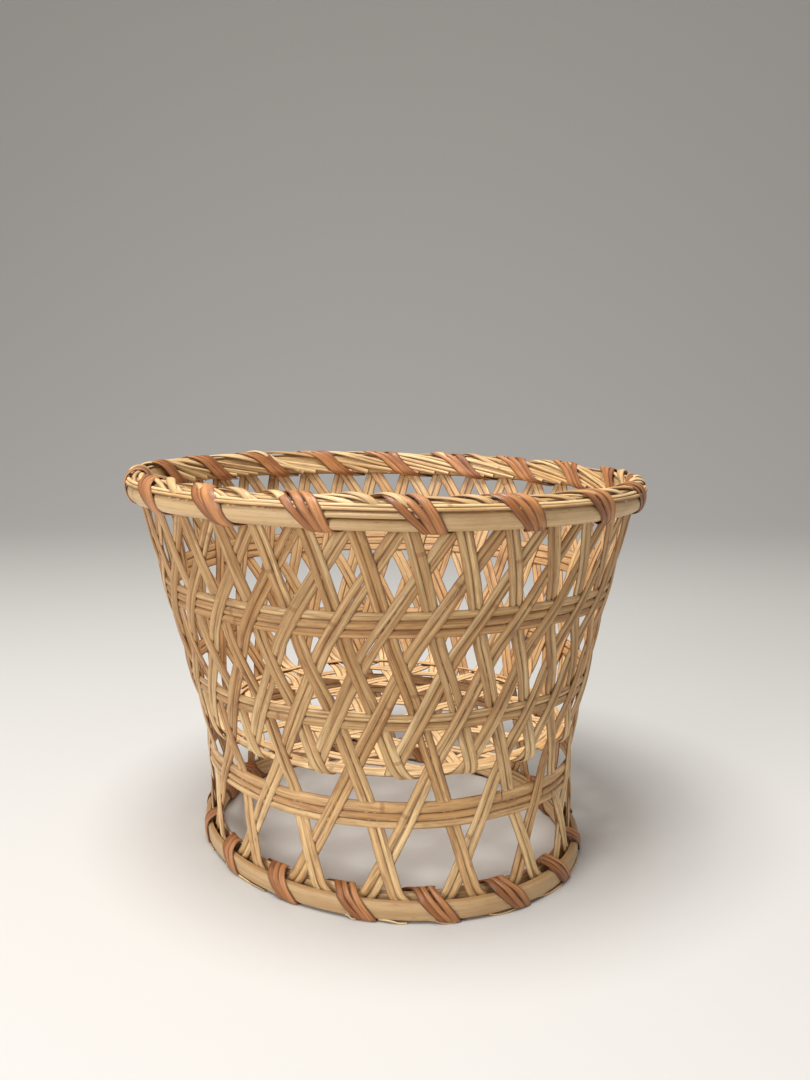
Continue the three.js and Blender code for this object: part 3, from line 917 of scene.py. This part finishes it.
# A bent end's way round the rim's section, by share of its length: out, up and share of its sweep
fold_out = ((0, -3.7), (0.28, -4.0), (0.5, -3.5), (0.66, -1.2), (0.82, 2.2), (1, 4.1))
fold_up = ((0, -5.2), (0.28, 1.0), (0.5, 6.4), (0.66, 8.3), (0.82, 7.8), (1, 3.3))
fold_turn = ((0, 0), (0.28, 0.34), (0.5, 0.6), (0.66, 0.77), (0.82, 0.91), (1, 1))
fold_thickness = 0.95
fold_stations = 34
folds_in_v = 4
steep_share = 0.28


def bent_end(name, start, chance):
    """One strip of a strand's end. Most lie long and low along the rim, and some cross it steeply."""
    share = np.linspace(0, 1, fold_stations)
    if chance.random() < steep_share:
        sweep = chance.uniform(17, 27)
        width = chance.uniform(3.6, 4.8)
        arch = chance.uniform(0.9, 2.3)
    else:
        sweep = chance.uniform(34, 52)
        width = chance.uniform(2.1, 3.4)
        arch = chance.uniform(0, 1.1)
    out, up = smooth_values(fold_out, share), smooth_values(fold_up, share)
    azimuth = start + sweep * smooth_values(fold_turn, share)
    # The way round goes inside, top, outside, so the outward side is on its left
    way_out, way_up = np.gradient(out), np.gradient(up)
    size = np.hypot(way_out, way_up)
    centre, facing = ring_route(rim_seat, azimuth, out, up, -way_up / size, way_out / size)
    lift = chance.uniform(-0.3, 0.7) + arch * faded(share, 0.38, 0.66) * (1 - faded(share, 0.72, 0.98))
    return strip(name, centre + facing * lift[:, None], facing, 0, width, fold_thickness, chance)


fold_bamboo = fibre_material(
    "fold_bamboo", pale=(241, 208, 154), deep=(203, 158, 102), split_side=(231, 190, 136),
    grain_and_shade=(84, 48, 22), stain=(140, 86, 46), roughness=(0.4, 0.58), grain_amount=0.45)

fold_chance = random.Random(501)
for index in range(v_count):
    name = f"rim_fold_{index + 1:02d}"
    parts = []
    for fold in range(folds_in_v):
        start = index * v_pitch + fold * v_pitch / folds_in_v + fold_chance.uniform(-1.8, 1.8)
        parts.append(bent_end(name, start, fold_chance))
    fitted(joined(name, parts), fold_bamboo, "strand_bamboo")

# The thin strips under the bent ends: out, up, width and thickness
core_strips = ((5.2, 5.4, 2.4, 1.2), (4.0, 6.9, 2.4, 0.9), (0.9, 7.3, 2.6, 0.9), (-2.2, 7.2, 2.4, 0.9))
core_sweep = 359
core_out_way = 0.2

core_chance = random.Random(502)
core_parts = []
for out, up, width, thickness in core_strips:
    azimuth = core_chance.uniform(0, 360) + np.linspace(0, core_sweep, ring_stations)
    run = np.radians(azimuth) * rim_radius
    outs = out + uneven(core_chance, 0.25, 120)(run)
    ups = up + uneven(core_chance, 0.15, 150)(run)
    out_way = np.full(ring_stations, core_out_way)
    centre, facing = ring_route(rim_seat, azimuth, outs, ups, out_way, np.ones(ring_stations))
    core_parts.append(
        strip("rim_filler_strip", centre, facing, 0, width, thickness, core_chance, wobble=0.5))
fitted(joined("rim_filler_strips", core_parts), fold_bamboo, "hoop_bamboo", "rim_filler")


# Lashings.
# Strips of brown bark bind each ring: three side by side, wound on and on round it, fanned out over
# the top and drawn together where they pass under.

# One turn round the rim's section: share of a turn, then out, up and azimuth in degrees
rim_wrap = (
    (0.00, -3.6, 9.3, -4.0), (0.09, -0.4, 10.0, -2.8), (0.18, 3.2, 9.1, -1.7), (0.27, 5.7, 6.4, -0.7),
    (0.34, 6.9, 2.8, 0.4), (0.41, 7.0, -1.2, 1.5), (0.49, 5.9, -5.0, 2.5), (0.57, 3.4, -6.9, 3.2),
    (0.67, -2.8, -6.9, 5.8), (0.75, -5.3, -5.6, 8.2), (0.84, -5.5, 0.2, 11.0), (0.93, -5.2, 6.6, 14.0),
)
foot_wrap = (
    (0.00, -3.3, 15.6, -2.2), (0.09, 0.5, 15.2, -1.4), (0.18, 4.2, 13.0, -0.5), (0.27, 5.9, 10.3, 0.5),
    (0.34, 6.4, 7.0, 1.7), (0.41, 6.4, 4.0, 2.9), (0.49, 5.8, 1.3, 4.0), (0.57, 3.4, 0.5, 4.8),
    (0.67, -2.8, 0.5, 7.2), (0.75, -4.9, 1.6, 9.6), (0.84, -5.4, 7.4, 12.8), (0.93, -5.2, 13.4, 15.8),
)
wrap_section = np.array([
    (0, 1.15), (0.5, 1.0), (0.82, 0.5), (1, -0.3), (0.7, -0.9),
    (0, -1), (-0.7, -0.9), (-1, -0.3), (-0.82, 0.5), (-0.5, 1.0),
])
wrap_skin = np.clip(wrap_section[:, 1] + 0.5, 0, 1)
# Edge is 1 at a bark strip's sides, where its colour is darkened as painted shade between strips
wrap_edge_shade = np.clip((np.abs(wrap_section[:, 0]) - 0.6) * 3, 0, 1)
wrap_steps = 40
bark_thickness = 0.84
bark_lap_lift = 0.12
bark_lap_turn = 0.3
broad_spread = 0.3
broad_size = 1.75


def lashing(name, seat, wrap, start, width, fan, drawn, seed, broad=()):
    """Bark strips wound round a ring, once for each V of the weave. A broad turn has wider strips
    laid one on the other."""
    chance = random.Random(seed)
    table = np.array(wrap)
    turns = np.arange(v_count)
    marks = np.append((turns[:, None] + table[:, 0]).ravel(), v_count)
    lengths = [np.append(np.tile(table[:, column], v_count), table[0, column]) for column in (1, 2)]
    advance = (turns[:, None] * v_pitch + table[:, 3]).ravel()
    advance = np.append(advance, v_count * v_pitch + table[0, 3])
    at = np.arange(v_count * wrap_steps) / wrap_steps
    out, up = (smooth_values(list(zip(marks, values)), at) for values in lengths)
    azimuth = start + smooth_values(list(zip(marks, advance)), at)
    share = at % 1
    spread_each = [chance.uniform(0.85, 1.15) for _ in range(v_count)]
    size_each = [chance.uniform(0.9, 1.1) for _ in range(v_count)]
    for turn in broad:
        spread_each[turn], size_each[turn] = broad_spread, broad_size
    turn_marks = np.arange(v_count + 1)
    spread = np.interp(at, turn_marks, spread_each + spread_each[:1])
    size = np.interp(at, turn_marks, size_each + size_each[:1])
    tight = faded(share, 0.2, 0.5) * (1 - faded(share, 0.88, 1.02))
    spacing = (fan + (drawn - fan) * tight) * spread
    # A strip's width is laid along the ring, so both its edges keep to the ring's section
    way_out, way_up = ((np.roll(value, -1) - np.roll(value, 1)) / 2 for value in (out, up))
    long = np.hypot(way_out, way_up)
    slope = np.radians(np.gradient(azimuth)) * seat[0] / long
    stretch = np.degrees(np.minimum(np.hypot(1, slope), 1.6) / seat[0])
    parts = []
    for side, tone in ((-1, 0.9), (0, 0.4), (1, 0.1)):
        own = chance.uniform(0.92, 1.08)
        half = width / 2 * size * own
        lap = np.clip((width - spacing) / width, 0, 0.5)
        turn = -bark_lap_turn * lap
        rock = side * spacing + uneven(chance, 0.12 * width, 2.3)(at * 2)
        lift = bark_lap_lift * (side + 1) + np.maximum(uneven(chance, 0.35, 3.1)(at * 2), 0)
        beside = wrap_section[:, 0] * half[:, None]
        height = wrap_section[:, 1] * bark_thickness / 2 + beside * np.sin(turn)[:, None]
        height = height + lift[:, None]
        rings = ring_point(
            *seat, (azimuth + rock * stretch)[:, None] + beside * stretch[:, None],
            out[:, None] - (way_up / long)[:, None] * height,
            up[:, None] + (way_out / long)[:, None] * height)
        parts.append(tube(name, rings, wrap_skin, wrap_edge_shade, tone, is_loop=True))
    return joined(name, parts)


bark = fibre_material(
    "lashing_bark", pale=(210, 145, 89), deep=(151, 91, 47), split_side=(185, 125, 77),
    grain_and_shade=(84, 44, 22), stain=(98, 52, 28), roughness=(0.33, 0.52), grain_amount=0.5,
    stain_amount=0.55, spacing=0.6)

# Each wrap starts a little to the left of the gap that it fills
last_crossing = first_v + right_lean * (row_height(last_plain_row + 1) - first_row)
rim_lashing_start = last_crossing + v_pitch / 4 - 3
foot_lashing_start = first_v - 9

rim_wraps = lashing("rim_lashing_bark", rim_seat, rim_wrap, rim_lashing_start,
                    width=4.6, fan=5.15, drawn=2.9, seed=601, broad=(14,))
fitted(rim_wraps, bark, "lashing_bark", "rim_lashing")

foot_wraps = lashing("foot_lashing_bark", foot_seat, foot_wrap, foot_lashing_start,
                     width=3.6, fan=3.6, drawn=2.4, seed=602)
fitted(foot_wraps, bark, "lashing_bark", "foot_lashing")


# Splinters.
# Thin fibres of bamboo and bark stick out under the foot ring, where strips were split and trimmed.

splinter_count = 26
splinter_stations = 14
splinter_thickness = 0.35
splinter_first = -70
splinter_pitch = 13.5
splinter_sweeps = (3, 8, 13, 16)
splinter_floor = 0.5

splinter_chance = random.Random(603)
splinters = []
for index in range(splinter_count):
    start = splinter_first + index * splinter_pitch + splinter_chance.uniform(-6, 6)
    share = np.linspace(0, 1, splinter_stations)
    sweep = splinter_chance.choice(splinter_sweeps) * splinter_chance.uniform(0.8, 1.2)
    bow = splinter_chance.uniform(0.2, 1.2)
    out = 4.6 + 0.9 * share + bow * np.sin(math.pi * share)
    up = 1.7 - 1.4 * faded(share, 0, 0.7) + 0.8 * np.sin(5 * share + 6 * bow)
    up = np.maximum(up, splinter_floor)
    out_way, up_way = np.ones(splinter_stations), np.full(splinter_stations, 0.5)
    centre, facing = ring_route(foot_seat, start + sweep * share, out, up, out_way, up_way)
    width = splinter_chance.uniform(0.5, 1.4)
    splinters.append(
        strip("splinter", centre, facing, 0, width, splinter_thickness, splinter_chance, wobble=0.3))
fitted(joined("foot_splinters", splinters), floor_bamboo, "hoop_bamboo")


# Floor and light.
# A plain pale sweep that the basket stands on, with a soft lamp above it and one to the left.

# In metres
surface_size = 6
surface_rise = 4
surface_bend = 1.6
back_edge = surface_size / 2 - 0.1


def select_back_edges(highest):
    bpy.ops.object.mode_set(mode="OBJECT")
    for edge in surface.data.edges:
        ends = [surface.data.vertices[i].co for i in edge.vertices]
        edge.select = all(end.y > back_edge and end.z < highest for end in ends)
    bpy.ops.object.mode_set(mode="EDIT")


bpy.ops.object.select_all(action="DESELECT")
bpy.ops.mesh.primitive_plane_add(size=surface_size, location=(0, 0, 0))
surface = bpy.context.active_object
surface.name = surface.data.name = "pale_sweep"
bpy.ops.object.mode_set(mode="EDIT")
bpy.ops.mesh.select_all(action="DESELECT")
select_back_edges(surface_rise)
bpy.ops.mesh.extrude_region_move(TRANSFORM_OT_translate={"value": (0, 0, surface_rise)})
select_back_edges(surface_rise / 2)
bpy.ops.mesh.bevel(offset=surface_bend, segments=16, affect="EDGES")
bpy.ops.object.mode_set(mode="OBJECT")
bpy.ops.object.shade_smooth()

paint = bpy.data.materials.new("pale_paint")
paint.use_nodes = True
paint_shader = paint.node_tree.nodes["Principled BSDF"]
paint_shader.inputs["Base Color"].default_value = linear(206, 203, 198)
paint_shader.inputs["Roughness"].default_value = 0.9
surface.data.materials.append(paint)

world = bpy.data.worlds.new("soft_room")
bpy.context.scene.world = world
world.use_nodes = True
room = world.node_tree.nodes["Background"]
room.inputs["Color"].default_value = (1.0, 0.99, 0.975, 1)
room.inputs["Strength"].default_value = 0.37


def lamp(name, location, aim, size, watts):
    """A round soft lamp, placed and sized in metres"""
    data = bpy.data.lights.new(name, "AREA")
    data.shape = "DISK"
    data.size = size
    data.energy = watts
    made = bpy.data.objects.new(name, data)
    bpy.context.scene.collection.objects.link(made)
    made.location = location
    direction = Vector(aim) - Vector(location)
    made.rotation_euler = direction.to_track_quat("-Z", "Y").to_euler()


lamp("soft_box_above", location=(-0.2, -0.3, 1.6), aim=(0, 0, 0.1), size=0.8, watts=28)
lamp("soft_box_left", location=(-1.2, -1.3, 0.7), aim=(0, 0, 0.12), size=0.9, watts=14)


# Camera.
# The photograph's view: from in front, a little above the rim, and turned down on the basket. The lens
# is worked out from a focal length in pixels of the photograph.

view_length = 950
view_width = 810
sensor_width = 36
camera_distance = 582.1
camera_height = 269.6
camera_side = 11.0
camera_pitch = 0.1447
camera_roll = 0.0026

camera_data = bpy.data.cameras.new("photo_view")
camera_data.sensor_fit = "HORIZONTAL"
camera_data.sensor_width = sensor_width
camera_data.lens = view_length / view_width * sensor_width
camera_data.clip_start = 0.01
camera = bpy.data.objects.new("photo_view", camera_data)
bpy.context.scene.collection.objects.link(camera)
level_right = Vector((1, 0, 0))
level_up = Vector((0, math.sin(camera_pitch), math.cos(camera_pitch)))
right = level_right * math.cos(camera_roll) + level_up * math.sin(camera_roll)
up = level_up * math.cos(camera_roll) - level_right * math.sin(camera_roll)
turned = Matrix((right, up, right.cross(up))).transposed().to_4x4()
place = Vector((camera_side, -camera_distance, camera_height)) * METRE
camera.matrix_world = Matrix.Translation(place) @ turned
bpy.context.scene.camera = camera
bpy.context.scene.view_settings.view_transform = "Standard"
